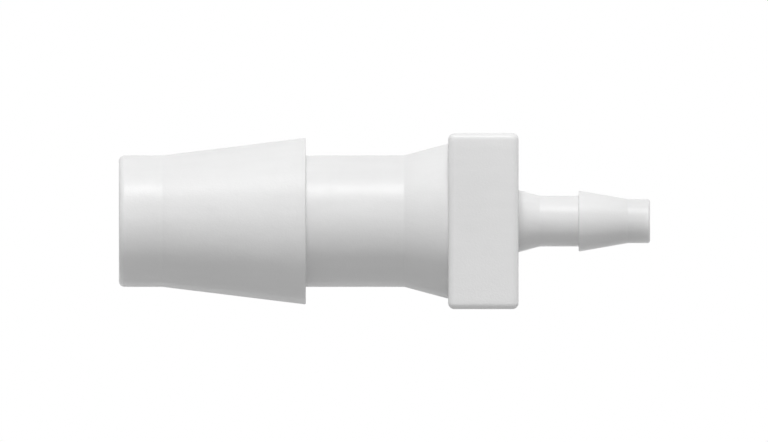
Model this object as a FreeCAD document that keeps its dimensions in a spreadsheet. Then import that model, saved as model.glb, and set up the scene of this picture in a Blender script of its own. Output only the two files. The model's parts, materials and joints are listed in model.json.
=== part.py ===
import FreeCAD, Part
import os
import Sketcher

# Reducing hose nipple, moulded in one piece: a barbed tail for a large hose and one for a small
# hose, with a square collar between them for a spanner and a stepped bore right through.
#
# Sizes are in millimetres. The origin is the centre of the collar, on the hose axis. The large tail
# points along -X and the small tail along +X, and the nipple lies on a flat of its collar, +Z up.

# The two tails, and the way that each points along the hose axis.
ENDS = {"large": -1, "small": 1}

# Going out from the collar, each tail has a flare, a neck that the hose grips, a barb and a tip.
TAIL_PARTS = ("flare", "neck", "barb", "tip")

SIZES = {
    "collar_width": 17.0,
    "collar_thickness": 6.8,
    "collar_round": 0.6,
    # The slope of both flares from the hose axis, in degrees.
    "flare_angle": 15.0,
    # The tail for the large hose. A barb's height is how far its shoulder stands out of the neck.
    "large_flare_length": 4.25,
    "large_neck_diameter": 12.7,
    "large_neck_length": 9.5,
    "large_barb_height": 1.7,
    "large_barb_length": 13.85,
    "large_barb_chamfer": 0.1,
    "large_tip_diameter": 12.7,
    "large_tip_length": 4.2,
    "large_tip_round": 0.55,
    "large_tip_wall": 1.5,
    "large_mouth_chamfer": 0.3,
    # The tail for the small hose.
    "small_flare_length": 2.05,
    "small_neck_diameter": 4.9,
    "small_neck_length": 3.75,
    "small_barb_height": 0.5,
    "small_barb_length": 4.75,
    "small_barb_chamfer": 0.06,
    "small_tip_diameter": 4.25,
    "small_tip_length": 2.15,
    "small_tip_round": 0.25,
    "small_tip_wall": 0.625,
    "small_mouth_chamfer": 0.15,
    # The web is what the large bore leaves of the collar, and the reducer is the cone cut in it.
    "web_thickness": 2.6,
    "reducer_length": 1.95,
}

# The most of the wall that one round or chamfer may take, so that a flat is left beside it.
EDGE_SHARE = 0.42

FULL_TURN = 360
HALF_TURN = 180


def fill_sheet(doc):
    """The driving dimensions, one to a row, each under its own name."""
    sheet = doc.addObject("Spreadsheet::Sheet", "Sizes")
    for row, (name, value) in enumerate(SIZES.items(), start=1):
        sheet.set(f"A{row}", name)
        sheet.set(f"B{row}", str(value))
        sheet.setAlias(f"B{row}", name)
    doc.recompute()
    return sheet


def worked_out(sheet, expression):
    """The value that an expression has now, as a plain number."""
    return FreeCAD.Units.Quantity(sheet.evalExpression(expression)).Value


def collar_face():
    """From the collar's centre to either of its faces."""
    return "Sizes.collar_thickness / 2"


def shoulder(end):
    """From the collar's centre to the shoulder of a barb, where the neck ends."""
    return f"{collar_face()} + Sizes.{end}_flare_length + Sizes.{end}_neck_length"


def reach(end):
    """From the collar's centre to the end of a tail."""
    return f"{shoulder(end)} + Sizes.{end}_barb_length + Sizes.{end}_tip_length"


def neck_radius(end):
    return f"Sizes.{end}_neck_diameter / 2"


def barb_radius(end):
    return f"{neck_radius(end)} + Sizes.{end}_barb_height"


def tip_radius(end):
    return f"Sizes.{end}_tip_diameter / 2"


def bore_radius(end):
    return f"{tip_radius(end)} - Sizes.{end}_tip_wall"


def root_radius(end):
    """The radius that the flare has grown to where it meets the collar."""
    return f"{neck_radius(end)} + Sizes.{end}_flare_length * tan(Sizes.flare_angle * 1 deg)"


def new_sketch(body, name, role, turned=False):
    """An empty sketch on one of the body's origin planes, turned to face the other way if asked."""
    sketch = body.newObject("Sketcher::SketchObject", name)
    plane = next(feature for feature in body.Origin.OriginFeatures if feature.Role == role)
    sketch.AttachmentSupport = (plane, "")
    sketch.MapMode = "FlatFace"
    if turned:
        about_upright = FreeCAD.Rotation(FreeCAD.Vector(0, 1, 0), HALF_TURN)
        sketch.AttachmentOffset = FreeCAD.Placement(FreeCAD.Vector(), about_upright)
    return sketch


def draw_loop(sketch, corners):
    """A closed loop of lines. Line n starts at corner n, and those that lie square stay square."""
    points = [FreeCAD.Vector(along, up, 0) for along, up in corners]
    following = points[1:] + points[:1]
    for number, (start, end) in enumerate(zip(points, following)):
        sketch.addGeometry(Part.LineSegment(start, end))
        if start.x == end.x:
            sketch.addConstraint(Sketcher.Constraint("Vertical", number))
        elif start.y == end.y:
            sketch.addConstraint(Sketcher.Constraint("Horizontal", number))
    for number in range(len(points)):
        after = (number + 1) % len(points)
        sketch.addConstraint(Sketcher.Constraint("Coincident", number, 2, after, 1))


def dimension(sketch, kind, first, second, name, expression):
    """A driven distance from one corner to another; a corner of None is the sketch's origin."""
    ends = [(-1, 1) if corner is None else (corner, 1) for corner in (first, second)]
    places = [sketch.getPoint(*end) for end in ends]
    offset = places[1] - places[0]
    drawn = offset.x if kind == "DistanceX" else offset.y
    index = sketch.addConstraint(Sketcher.Constraint(kind, *ends[0], *ends[1], drawn))
    sketch.renameConstraint(index, name)
    sketch.setExpression(f"Constraints.{name}", expression)


def make_collar(doc, body):
    """The square collar, with every edge rounded."""
    sketch = new_sketch(body, "collar_square", "YZ_Plane")
    half = SIZES["collar_width"] / 2
    draw_loop(sketch, [(-half, -half), (half, -half), (half, half), (-half, half)])
    width = "Sizes.collar_width"
    dimension(sketch, "DistanceX", 0, 1, "width", width)
    dimension(sketch, "DistanceY", 1, 2, "height", width)
    dimension(sketch, "DistanceX", None, 1, "half_width", f"{width} / 2")
    dimension(sketch, "DistanceY", None, 2, "half_height", f"{width} / 2")

    block = body.newObject("PartDesign::Pad", "collar_block")
    block.Profile = sketch
    block.SideType = "Symmetric"
    block.setExpression("Length", "Sizes.collar_thickness")
    doc.recompute()

    rounded = body.newObject("PartDesign::Fillet", "collar_rounds")
    rounded.Base = (block, [])
    rounded.UseAllEdges = True
    rounded.setExpression("Radius", "Sizes.collar_round")
    doc.recompute()


def draw_tail(sheet, sketch, end):
    """Half of a tail's section, which grows along the sketch's own X and starts in the collar."""
    root, neck, barb, tip = (
        worked_out(sheet, radius(end))
        for radius in (root_radius, neck_radius, barb_radius, tip_radius)
    )
    face = worked_out(sheet, collar_face())
    flare_end = face + SIZES[f"{end}_flare_length"]
    neck_end = worked_out(sheet, shoulder(end))
    barb_end = neck_end + SIZES[f"{end}_barb_length"]
    tip_end = worked_out(sheet, reach(end))
    corners = [
        (0, 0),
        (0, root),
        (face, root),
        (flare_end, neck),
        (neck_end, neck),
        (neck_end, barb),
        (barb_end, tip),
        (tip_end, tip),
        (tip_end, 0),
    ]
    draw_loop(sketch, corners)
    sketch.addConstraint(Sketcher.Constraint("Coincident", 0, 1, -1, 1))
    dimension(sketch, "DistanceX", None, 2, "collar_face", collar_face())
    for start, part in zip((2, 3, 5, 6), TAIL_PARTS):
        length = f"Sizes.{end}_{part}_length"
        dimension(sketch, "DistanceX", start, start + 1, f"{part}_length", length)
    dimension(sketch, "DistanceY", None, 2, "root_radius", root_radius(end))
    dimension(sketch, "DistanceY", None, 3, "neck_radius", neck_radius(end))
    dimension(sketch, "DistanceY", 4, 5, "barb_height", f"Sizes.{end}_barb_height")
    dimension(sketch, "DistanceY", None, 6, "tip_radius", tip_radius(end))


def make_tail(doc, body, sheet, end):
    """A hose tail, turned about the hose axis."""
    sketch = new_sketch(body, f"{end}_tail_section", "XZ_Plane", turned=ENDS[end] < 0)
    draw_tail(sheet, sketch, end)
    tail = body.newObject("PartDesign::Revolution", f"{end}_tail")
    tail.Profile = sketch
    tail.ReferenceAxis = (sketch, ["H_Axis"])
    tail.Angle = FULL_TURN
    doc.recompute()


def draw_bore(sheet, sketch):
    """Half of the bore's section: wide from the large tip, a cone in the web, narrow to the other."""
    wide, narrow = (worked_out(sheet, bore_radius(end)) for end in ENDS)
    large_mouth, small_mouth = (worked_out(sheet, reach(end)) for end in ENDS)
    wide_length = f"{reach('large')} + {collar_face()} - Sizes.web_thickness"
    cone_start = worked_out(sheet, wide_length) - large_mouth
    cone_end = cone_start + SIZES["reducer_length"]
    corners = [
        (-large_mouth, 0),
        (-large_mouth, wide),
        (cone_start, wide),
        (cone_end, narrow),
        (small_mouth, narrow),
        (small_mouth, 0),
    ]
    draw_loop(sketch, corners)
    sketch.addConstraint(Sketcher.Constraint("PointOnObject", 0, 1, -1))
    dimension(sketch, "DistanceX", 0, None, "large_mouth", reach("large"))
    dimension(sketch, "DistanceX", 1, 2, "wide_length", wide_length)
    dimension(sketch, "DistanceX", 2, 3, "reducer_length", "Sizes.reducer_length")
    dimension(sketch, "DistanceX", None, 5, "small_mouth", reach("small"))
    dimension(sketch, "DistanceY", None, 2, "wide_radius", bore_radius("large"))
    dimension(sketch, "DistanceY", None, 3, "narrow_radius", bore_radius("small"))


def cut_bore(doc, body, sheet):
    """The stepped bore from one tip to the other, as one groove about the hose axis."""
    sketch = new_sketch(body, "bore_section", "XZ_Plane")
    draw_bore(sheet, sketch)
    solid_volume = body.Shape.Volume
    bore = body.newObject("PartDesign::Groove", "bore")
    bore.Profile = sketch
    bore.ReferenceAxis = (sketch, ["H_Axis"])
    bore.Angle = FULL_TURN
    doc.recompute()
    if body.Shape.Volume >= solid_volume:
        raise RuntimeError("the bore cuts nothing")


def ring_edge(shape, along, radius):
    """The name of the circular edge that lies nearest to that place on the hose axis and radius."""
    misses = {}
    for number, edge in enumerate(shape.Edges, start=1):
        if edge.Degenerated or not isinstance(edge.Curve, Part.Circle):
            continue
        circle = edge.Curve
        misses[f"Edge{number}"] = abs(circle.Center.x - along) + abs(circle.Radius - radius)
    return min(misses, key=misses.get)


def finish_edges(doc, body, sheet, end):
    """Rounds the outside of the tip, and chamfers the rim of the barb and the mouth of the bore."""
    tip_wall = f"Sizes.{end}_tip_wall"
    rings = {
        "barb_chamfer": (shoulder(end), barb_radius(end), f"Sizes.{end}_barb_height"),
        "tip_round": (reach(end), tip_radius(end), tip_wall),
        "mouth_chamfer": (reach(end), bore_radius(end), tip_wall),
    }
    for name, (place, radius, wall) in rings.items():
        feature, size = ("Fillet", "Radius") if name == "tip_round" else ("Chamfer", "Size")
        before = body.Tip
        along = ENDS[end] * worked_out(sheet, place)
        edge = ring_edge(before.Shape, along, worked_out(sheet, radius))
        finish = body.newObject(f"PartDesign::{feature}", f"{end}_{name}_edge")
        finish.Base = (before, [edge])
        finish.setExpression(size, f"min(Sizes.{end}_{name}; {EDGE_SHARE} * {wall})")
        doc.recompute()


def make_nipple(doc, sheet):
    """The whole nipple, which is one solid."""
    body = doc.addObject("PartDesign::Body", "hose_nipple")
    body.Label = "hose_nipple"
    make_collar(doc, body)
    for end in ENDS:
        make_tail(doc, body, sheet, end)
    cut_bore(doc, body, sheet)
    for end in ENDS:
        finish_edges(doc, body, sheet, end)
    return body


def check(doc, body):
    """Stops the script if a feature failed, or if the nipple isn't one sound solid."""
    doc.recompute()
    failed = [o.Label for o in doc.Objects if "Invalid" in o.State or "Error" in o.State]
    if failed:
        raise RuntimeError(f"these features failed: {failed}")
    shape = body.Shape
    if shape.isNull() or not shape.isValid() or len(shape.Solids) != 1:
        raise RuntimeError(f"{body.Label} isn't one valid solid")


def main():
    doc = FreeCAD.newDocument("reducing_hose_nipple")
    sheet = fill_sheet(doc)
    body = make_nipple(doc, sheet)
    check(doc, body)
    os.makedirs("parts", exist_ok=True)
    body.Shape.exportStep(f"parts/{body.Label}.step")
    solid = body.Shape.Solids[0]
    box = solid.optimalBoundingBox()
    print(f"{body.Label}: {box.XLength:.2f} x {box.YLength:.2f} x {box.ZLength:.2f} mm")
    print(f"volume {solid.Volume:.1f} mm3, centre of mass at x {solid.CenterOfMass.x:.2f} mm")


main()
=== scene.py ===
import json
from collections import namedtuple
from math import cos, pi, radians, sin

import bpy
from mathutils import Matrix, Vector


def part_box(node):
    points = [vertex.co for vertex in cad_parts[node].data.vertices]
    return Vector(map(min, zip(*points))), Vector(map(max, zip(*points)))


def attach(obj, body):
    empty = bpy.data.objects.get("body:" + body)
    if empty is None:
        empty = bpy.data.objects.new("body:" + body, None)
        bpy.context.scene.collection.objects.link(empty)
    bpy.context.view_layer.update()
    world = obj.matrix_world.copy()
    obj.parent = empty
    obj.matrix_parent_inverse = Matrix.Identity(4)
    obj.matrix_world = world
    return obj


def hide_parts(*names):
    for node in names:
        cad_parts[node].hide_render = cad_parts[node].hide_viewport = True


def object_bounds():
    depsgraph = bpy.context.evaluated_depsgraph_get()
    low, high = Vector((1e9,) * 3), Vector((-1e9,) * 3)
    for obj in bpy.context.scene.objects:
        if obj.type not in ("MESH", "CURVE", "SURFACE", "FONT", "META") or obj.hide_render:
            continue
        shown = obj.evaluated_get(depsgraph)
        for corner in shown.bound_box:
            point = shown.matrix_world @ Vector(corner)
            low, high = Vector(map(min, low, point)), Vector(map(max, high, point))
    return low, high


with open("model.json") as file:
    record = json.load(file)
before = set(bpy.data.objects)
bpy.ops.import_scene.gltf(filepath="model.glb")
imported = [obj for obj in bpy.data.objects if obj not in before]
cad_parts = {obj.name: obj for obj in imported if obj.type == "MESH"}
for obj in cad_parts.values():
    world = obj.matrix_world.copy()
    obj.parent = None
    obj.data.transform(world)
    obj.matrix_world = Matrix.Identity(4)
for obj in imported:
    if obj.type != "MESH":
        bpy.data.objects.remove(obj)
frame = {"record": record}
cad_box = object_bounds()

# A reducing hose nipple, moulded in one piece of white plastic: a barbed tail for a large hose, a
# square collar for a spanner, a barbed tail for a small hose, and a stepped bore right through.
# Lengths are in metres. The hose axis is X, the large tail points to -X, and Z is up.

MM = 0.001
MICRON = MM / 1000
NODE = "hose_nipple"
BODY = "root"
IMAGE_WIDTH = 768
IMAGE_HEIGHT = 442
QUARTER_TURN = pi / 2
HALF_QUARTER_TURN = pi / 4


# Sizes of the moulding

def nipple_lengths():
    """The lengths that the moulding is made to, by the names of the node tree's inputs."""
    low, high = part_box(NODE)
    mount = {each["name"]: each["dims"] for each in frame["record"]["mounts"]}
    return {
        "Collar width": high.z - low.z,
        "Collar thickness": 6.8 * MM,
        "Collar round": 0.6 * MM,
        "Large reach": -low.x,
        "Large flare length": 4.25 * MM,
        "Large neck diameter": 12.7 * MM,
        "Large neck length": 9.5 * MM,
        "Large barb height": 1.7 * MM,
        "Large barb length": 13.85 * MM,
        "Large tip diameter": 2 * mount["large_tip"]["r_mm"] * MM,
        "Large tip round": 0.55 * MM,
        "Large mouth round": 0.25 * MM,
        "Large crease round": 0.7 * MM,
        "Large bore diameter": 2 * mount["large_bore"]["r_mm"] * MM,
        "Small reach": high.x,
        "Small flare length": 2.05 * MM,
        "Small neck diameter": 4.9 * MM,
        "Small neck length": 3.75 * MM,
        "Small barb height": 0.5 * MM,
        "Small barb length": 4.75 * MM,
        "Small tip diameter": 2 * mount["small_tip"]["r_mm"] * MM,
        "Small tip round": 0.25 * MM,
        "Small mouth round": 0.12 * MM,
        "Small crease round": 0.8 * MM,
        "Small bore diameter": 2 * mount["small_bore"]["r_mm"] * MM,
        "Web thickness": 2.6 * MM,
        "Reducer length": 1.95 * MM,
        "Reducer round": 0.5 * MM,
        "Barb rim round": 0.12 * MM,
        "Root round": 0.05 * MM,
    }


FLARE_ANGLE = radians(15)
POINTS_IN_QUARTER = 54
POINTS_ON_ROUND = 8
CORNER_SHARE = 0.16


# Node trees in plain arithmetic

class Number:
    """A number inside a node tree. A sum or a product of it becomes a Math node."""

    def __init__(self, tree, socket):
        self.tree = tree
        self.socket = socket

    def worked(self, operation, *others):
        """The number that one of the Math node's operations makes of this one and the others."""
        node = self.tree.nodes.new("ShaderNodeMath")
        node.operation = operation
        for socket, value in zip(node.inputs, (self, *others)):
            feed(socket, value)
        return Number(self.tree, node.outputs[0])

    def __add__(self, other):
        return self.worked("ADD", other)

    def __sub__(self, other):
        return self.worked("SUBTRACT", other)

    def __mul__(self, other):
        return self.worked("MULTIPLY", other)

    def __truediv__(self, other):
        return self.worked("DIVIDE", other)

    def __neg__(self):
        return self * -1


def feed(socket, value):
    """Give an input its value, or link it to the output that the value comes from."""
    if isinstance(value, Number):
        value = value.socket
    if isinstance(value, bpy.types.NodeSocket):
        socket.id_data.links.new(value, socket)
    else:
        socket.default_value = value


def add_node(tree, kind, inputs=None, **settings):
    """Add a node, set it up and feed its inputs, which go by their names."""
    node = tree.nodes.new(kind)
    for name, value in settings.items():
        setattr(node, name, value)
    for name, value in (inputs or {}).items():
        feed(node.inputs[name], value)
    return node


def number_from(tree, kind, output=0, inputs=None, **settings):
    """Add a node and take one of its outputs as a number."""
    return Number(tree, add_node(tree, kind, inputs, **settings).outputs[output])


def by_index(tree, index, kind, values):
    """The value that belongs to each index."""
    switch = add_node(tree, "GeometryNodeIndexSwitch", {"Index": index}, data_type=kind)
    while len(switch.index_switch_items) < len(values):
        switch.index_switch_items.new()
    for item, value in enumerate(values):
        feed(switch.inputs[item + 1], value)
    return switch.outputs[0]


# The moulding's outline, which is the half section above the hose axis

Corner = namedtuple("Corner", "along out round")


def tail_corners(size, end):
    """The corners of one tail, from the collar out to the mouth."""
    collar_face = size["Collar thickness"] / 2
    flare_end = collar_face + size[f"{end} flare length"]
    shoulder = flare_end + size[f"{end} neck length"]
    barb_end = shoulder + size[f"{end} barb length"]
    reach = size[f"{end} reach"]
    neck = size[f"{end} neck diameter"] / 2
    flare_root = neck + size[f"{end} flare length"] * size["Flare angle"].worked("TANGENT")
    tip = size[f"{end} tip diameter"] / 2
    return [
        Corner(collar_face, flare_root, size["Root round"]),
        Corner(flare_end, neck, size[f"{end} crease round"]),
        Corner(shoulder, neck, size["Root round"]),
        Corner(shoulder, neck + size[f"{end} barb height"], size["Barb rim round"]),
        Corner(barb_end, tip, size[f"{end} crease round"]),
        Corner(reach, tip, size[f"{end} tip round"]),
        Corner(reach, size[f"{end} bore diameter"] / 2, size[f"{end} mouth round"]),
    ]


def outline_corners(size):
    """The corners all round the half section: from the large mouth along the outside to the
    small mouth, and back through the bore. The second result marks the collar's two corners."""
    large = [Corner(-corner.along, corner.out, corner.round) for corner in tail_corners(size, "Large")]
    small = tail_corners(size, "Small")
    half_width = size["Collar width"] / 2
    collar_face = size["Collar thickness"] / 2
    collar = [
        Corner(-collar_face, half_width, size["Collar round"]),
        Corner(collar_face, half_width, size["Collar round"]),
    ]
    web_start = collar_face - size["Web thickness"]
    web_end = web_start + size["Reducer length"]
    reducer = [
        Corner(web_end, size["Small bore diameter"] / 2, size["Reducer round"]),
        Corner(web_start, size["Large bore diameter"] / 2, size["Reducer round"]),
    ]
    corners = [*reversed(large), *collar, *small, *reducer]
    return corners, [corner in collar for corner in corners]


def outline_curve(tree, size, round_points):
    """The outline as a closed curve with its corners rounded. The second result is the field
    that is true on the collar."""
    corners, on_collar = outline_corners(size)
    index = tree.nodes.new("GeometryNodeInputIndex").outputs[0]
    places = [
        add_node(tree, "ShaderNodeCombineXYZ", {"X": corner.along, "Y": corner.out}).outputs[0]
        for corner in corners
    ]
    line = add_node(tree, "GeometryNodeMeshLine", {"Count": len(corners)})
    placed = add_node(tree, "GeometryNodeSetPosition", {
        "Geometry": line.outputs[0],
        "Position": by_index(tree, index, "VECTOR", places),
    })
    open_curve = add_node(tree, "GeometryNodeMeshToCurve", {"Mesh": placed.outputs[0]})
    closed = add_node(tree, "GeometryNodeSetSplineCyclic", {
        "Geometry": open_curve.outputs[0],
        "Cyclic": True,
    })
    marked = tree.nodes.new("GeometryNodeCaptureAttribute")
    marked.capture_items.new("BOOLEAN", "On collar")
    feed(marked.inputs["Geometry"], closed.outputs[0])
    feed(marked.inputs["On collar"], by_index(tree, index, "BOOLEAN", on_collar))
    rounded = add_node(tree, "GeometryNodeFilletCurve", {
        "Curve": marked.outputs["Geometry"],
        "Radius": by_index(tree, index, "FLOAT", [corner.round for corner in corners]),
        "Limit Radius": True,
        "Count": round_points,
    }, mode="POLY")
    return rounded.outputs[0], marked.outputs["On collar"]


# The moulding as one closed skin

def from_outline(tree, curve, kind, value, index):
    """A value at one point of the outline."""
    sampler = add_node(tree, "GeometryNodeSampleIndex", {"Geometry": curve, "Index": index},
                       data_type=kind, domain="POINT")
    feed(sampler.inputs["Value"], value)
    return sampler.outputs[0]


def round_section(turn, along, out):
    """A point of a section that is a circle."""
    return along, out * turn.worked("COSINE"), out * turn.worked("SINE")


def square_section(size, quarters, along, out):
    """A point of a section that is a square with rounded corners. The corners take up a small
    share of each quarter, and the points on the flats are evenly spaced."""
    side = quarters.worked("ROUND")
    from_middle = quarters - side
    flat_share = 0.5 - CORNER_SHARE / 2
    facing = side * QUARTER_TURN
    across = (from_middle / flat_share).worked("MAXIMUM", -1).worked("MINIMUM", 1)
    past_flat = from_middle.worked("ABSOLUTE") - flat_share
    swing = past_flat.worked("MAXIMUM", 0) / (CORNER_SHARE / 2) * HALF_QUARTER_TURN
    bend = facing + swing * from_middle.worked("SIGN")
    core = size["Collar width"] / 2 - size["Collar round"]
    skin = out - core
    level = core * across
    y = core * facing.worked("COSINE") - level * facing.worked("SINE") + skin * bend.worked("COSINE")
    z = core * facing.worked("SINE") + level * facing.worked("COSINE") + skin * bend.worked("SINE")
    return along, y, z


def moulding_tree(lengths, finish):
    """The node tree that makes the moulding. The outline goes round the hose axis, through
    circles on the tails and in the bore and through rounded squares on the collar."""
    tree = bpy.data.node_groups.new("nipple_moulding", "GeometryNodeTree")
    for name in lengths:
        socket = tree.interface.new_socket(name, in_out="INPUT", socket_type="NodeSocketFloat")
        socket.subtype = "DISTANCE"
    angle = tree.interface.new_socket("Flare angle", in_out="INPUT", socket_type="NodeSocketFloat")
    angle.subtype = "ANGLE"
    for name in ("Points in a quarter", "Points on a round"):
        tree.interface.new_socket(name, in_out="INPUT", socket_type="NodeSocketInt")
    tree.interface.new_socket("Moulding", in_out="OUTPUT", socket_type="NodeSocketGeometry")
    start = tree.nodes.new("NodeGroupInput")
    size = {output.name: Number(tree, output) for output in start.outputs if output.name}

    curve, on_collar = outline_curve(tree, size, size["Points on a round"])
    count = add_node(tree, "GeometryNodeAttributeDomainSize", {"Geometry": curve}, component="CURVE")
    around_outline = Number(tree, count.outputs["Point Count"])
    around_axis = size["Points in a quarter"] * 4
    grid = add_node(tree, "GeometryNodeMeshGrid", {
        "Vertices X": around_axis + 1,
        "Vertices Y": around_outline + 1,
    })

    index = number_from(tree, "GeometryNodeInputIndex")
    row_length = around_outline + 1
    quarters = (index / row_length).worked("FLOOR") / size["Points in a quarter"]
    outline_index = index.worked("FLOORED_MODULO", row_length).worked("FLOORED_MODULO", around_outline)
    position = tree.nodes.new("GeometryNodeInputPosition").outputs[0]
    place = from_outline(tree, curve, "FLOAT_VECTOR", position, outline_index)
    split = add_node(tree, "ShaderNodeSeparateXYZ", {"Vector": place})
    along = Number(tree, split.outputs["X"])
    out = Number(tree, split.outputs["Y"])
    sections = [
        round_section(quarters * QUARTER_TURN, along, out),
        square_section(size, quarters, along, out),
    ]
    points = [
        add_node(tree, "ShaderNodeCombineXYZ", dict(zip("XYZ", section))).outputs[0]
        for section in sections
    ]
    chosen = add_node(tree, "GeometryNodeSwitch", {
        "Switch": from_outline(tree, curve, "BOOLEAN", on_collar, outline_index),
        "False": points[0],
        "True": points[1],
    }, input_type="VECTOR")
    skin = add_node(tree, "GeometryNodeSetPosition", {
        "Geometry": grid.outputs["Mesh"],
        "Position": chosen.outputs[0],
    })
    closed = add_node(tree, "GeometryNodeMergeByDistance", {
        "Geometry": skin.outputs[0],
        "Distance": MICRON,
    })
    smooth = add_node(tree, "GeometryNodeSetShadeSmooth", {"Geometry": closed.outputs[0]})
    real = add_node(tree, "GeometryNodeRealizeInstances", {"Geometry": smooth.outputs[0]})
    finished = add_node(tree, "GeometryNodeSetMaterial", {
        "Geometry": real.outputs[0],
        "Material": finish,
    })
    end = tree.nodes.new("NodeGroupOutput")
    feed(end.inputs["Moulding"], finished.outputs[0])
    return tree


def make_moulding(finish):
    """The nipple itself, as one plain mesh."""
    lengths = nipple_lengths()
    tree = moulding_tree(lengths, finish)
    piece = bpy.data.objects.new("nipple_moulding", bpy.data.meshes.new("nipple_moulding"))
    bpy.context.scene.collection.objects.link(piece)
    maker = piece.modifiers.new("moulding", "NODES")
    maker.node_group = tree
    settings = {
        **lengths,
        "Flare angle": FLARE_ANGLE,
        "Points in a quarter": POINTS_IN_QUARTER,
        "Points on a round": POINTS_ON_ROUND,
    }
    for socket in tree.interface.items_tree:
        if socket.in_out == "INPUT":
            maker[socket.identifier] = settings[socket.name]
    shading = piece.modifiers.new("even shading", "WEIGHTED_NORMAL")
    shading.keep_sharp = True

    seen = piece.evaluated_get(bpy.context.evaluated_depsgraph_get())
    mesh = bpy.data.meshes.new_from_object(seen, preserve_all_data_layers=True,
                                           depsgraph=bpy.context.evaluated_depsgraph_get())
    piece.modifiers.clear()
    piece.data = mesh
    mesh.name = piece.name
    return piece


# Finishes

def ray_is_a_view(tree):
    """One for a ray from the camera or a reflection of one, and nought for a ray of soft light."""
    path = tree.nodes.new("ShaderNodeLightPath")
    seen = Number(tree, path.outputs["Is Camera Ray"])
    for kind in ("Is Glossy Ray", "Is Transmission Ray"):
        seen = seen.worked("MAXIMUM", path.outputs[kind])
    return seen


def noise(tree, place, feature, detail):
    """Soft noise with features of about the given size. It runs from nought to one."""
    return number_from(tree, "ShaderNodeTexNoise", inputs={
        "Vector": place,
        "Scale": 1 / feature,
        "Detail": detail,
    })


def astray(pattern, swing):
    """How far the pattern carries a value from its middle."""
    return (pattern - 0.5) * swing


def satin_white_plastic():
    """White plastic as it leaves the mould: satin, milky a little way in, faintly clouded, with
    streaks along the flow, duller and glossier patches, and the fine grain of the mould."""
    white = 0.8
    satin = 0.4
    gloss = 0.3
    milky_share = 0.3
    milky_depth = 5 * MM
    streak_stretch = 10
    grain_depth = 12 * MICRON
    ripple_depth = 8 * MICRON

    material = bpy.data.materials.new("satin_white_plastic")
    material.use_nodes = True
    tree = material.node_tree
    shader = tree.nodes["Principled BSDF"]
    place = tree.nodes.new("ShaderNodeTexCoord").outputs["Object"]
    flow = add_node(tree, "ShaderNodeMapping", {
        "Vector": place,
        "Scale": (1 / streak_stretch, 1, 1),
    }).outputs[0]

    clouds = noise(tree, place, feature=6 * MM, detail=3)
    streaks = noise(tree, flow, feature=0.8 * MM, detail=2)
    patches = noise(tree, place, feature=1.6 * MM, detail=4)
    grain = noise(tree, place, feature=0.18 * MM, detail=2)
    ripple = noise(tree, place, feature=1.1 * MM, detail=1)
    relief = grain * grain_depth + ripple * ripple_depth
    surface = add_node(tree, "ShaderNodeBump", {"Height": relief, "Distance": 1.0})

    feed(shader.inputs["Base Color"], astray(clouds, swing=0.06) + astray(streaks, swing=0.03) + white)
    feed(shader.inputs["Roughness"], astray(patches, swing=0.16) + satin)
    feed(shader.inputs["Specular IOR Level"], gloss)
    feed(shader.inputs["Subsurface Weight"], milky_share)
    feed(shader.inputs["Subsurface Radius"], (1, 1, 1))
    feed(shader.inputs["Subsurface Scale"], milky_depth)
    feed(shader.inputs["Normal"], surface.outputs["Normal"])
    return material


def white_floor(floor_light):
    """Pale matt floor. Seen by the camera it is lifted to white, and its shadows stay."""
    pale = 0.8
    matt = 0.9
    material = bpy.data.materials.new("pale_floor")
    material.use_nodes = True
    tree = material.node_tree
    shader = tree.nodes["Principled BSDF"]
    feed(shader.inputs["Base Color"], (pale, pale, pale, 1))
    feed(shader.inputs["Roughness"], matt)
    feed(shader.inputs["Specular IOR Level"], 0.0)
    feed(shader.inputs["Emission Color"], (1, 1, 1, 1))
    feed(shader.inputs["Emission Strength"], ray_is_a_view(tree) * (1 - pale * floor_light))
    return material


# The studio

# FILL is the light of the studio itself. A lamp's height, its turn sideways and its width are in
# degrees, and the turn is nought in front, 90 at the small end and 180 behind.
Lamp = namedtuple("Lamp", "name strength height sideways width mirrored", defaults=[True])

FILL = 0.375
LAMPS = [
    Lamp("key_softbox", 1.87, 57, 0, 12),
    Lamp("low_front_softbox", 0.41, 14, 0, 16),
    Lamp("left_softbox", 0.23, 5, -95, 16),
    Lamp("right_softbox", 0.27, 5, 105, 16),
    Lamp("back_softbox", 1.2, 7, 171, 6, mirrored=False),
    Lamp("table_bounce", 0.27, -40, 180, 40),
]


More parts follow.
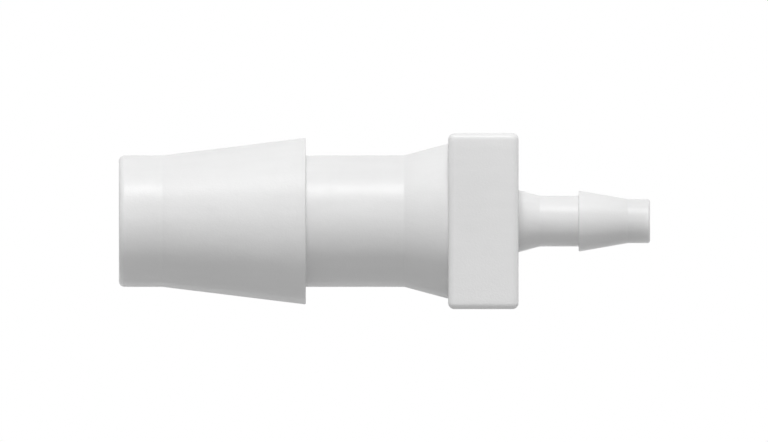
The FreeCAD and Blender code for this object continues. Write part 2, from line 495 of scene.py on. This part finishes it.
def hang_lamps():
    """Distant soft lamps, each from its height and its turn round the object. The one behind isn't
    mirrored, so it draws no bright line along the edges. Returns the light on a level floor,
    where 1 shows a colour as it is written."""
    floor_light = FILL
    for lamp in LAMPS:
        light = bpy.data.lights.new(lamp.name, "SUN")
        light.energy = lamp.strength
        light.angle = radians(lamp.width)
        height = radians(lamp.height)
        turn = radians(lamp.sideways)
        source = Vector((sin(turn) * cos(height), -cos(turn) * cos(height), sin(height)))
        holder = bpy.data.objects.new(lamp.name, light)
        holder.rotation_euler = source.to_track_quat("Z", "Y").to_euler()
        holder.visible_glossy = lamp.mirrored
        bpy.context.scene.collection.objects.link(holder)
        floor_light += lamp.strength * max(sin(height), 0) / pi
    return floor_light


def make_world():
    """A white studio. It shows as plain white, and lights the object softly at a lower level."""
    world = bpy.data.worlds.new("white_studio")
    world.use_nodes = True
    tree = world.node_tree
    backdrop = tree.nodes["Background"]
    feed(backdrop.inputs["Color"], (1, 1, 1, 1))
    feed(backdrop.inputs["Strength"], ray_is_a_view(tree) * (1 - FILL) + FILL)
    bpy.context.scene.world = world


def lay_floor(level, floor_light):
    """The floor that the collar lies on."""
    reach = 1.5
    corners = [
        (-reach, -reach, level),
        (reach, -reach, level),
        (reach, reach, level),
        (-reach, reach, level),
    ]
    mesh = bpy.data.meshes.new("floor")
    mesh.from_pydata(corners, [], [(0, 1, 2, 3)])
    mesh.materials.append(white_floor(floor_light))
    floor = bpy.data.objects.new("floor", mesh)
    bpy.context.scene.collection.objects.link(floor)
    # It takes shadows, but lights nothing itself and lets the lamp below shine through.
    floor.visible_diffuse = False
    floor.visible_shadow = False


def place_camera():
    """The photograph's straight side view, without perspective."""
    pixel = 0.09658 * MM
    collar_column = 483.35
    axis_row = 221.12
    distance = 0.3
    sight = 10.0
    camera = bpy.data.cameras.new("side_view")
    camera.type = "ORTHO"
    camera.ortho_scale = IMAGE_WIDTH * pixel
    camera.clip_end = sight
    holder = bpy.data.objects.new("side_view", camera)
    holder.location = (
        (IMAGE_WIDTH / 2 - collar_column) * pixel,
        -distance,
        (axis_row - IMAGE_HEIGHT / 2) * pixel,
    )
    holder.rotation_euler = (QUARTER_TURN, 0, 0)
    bpy.context.scene.collection.objects.link(holder)
    bpy.context.scene.camera = holder


place_camera()
piece = make_moulding(satin_white_plastic())
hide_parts(NODE)
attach(piece, BODY)
floor_light = hang_lamps()
make_world()
lay_floor(cad_box[0].z, floor_light)
bpy.context.scene.view_settings.view_transform = "Standard"
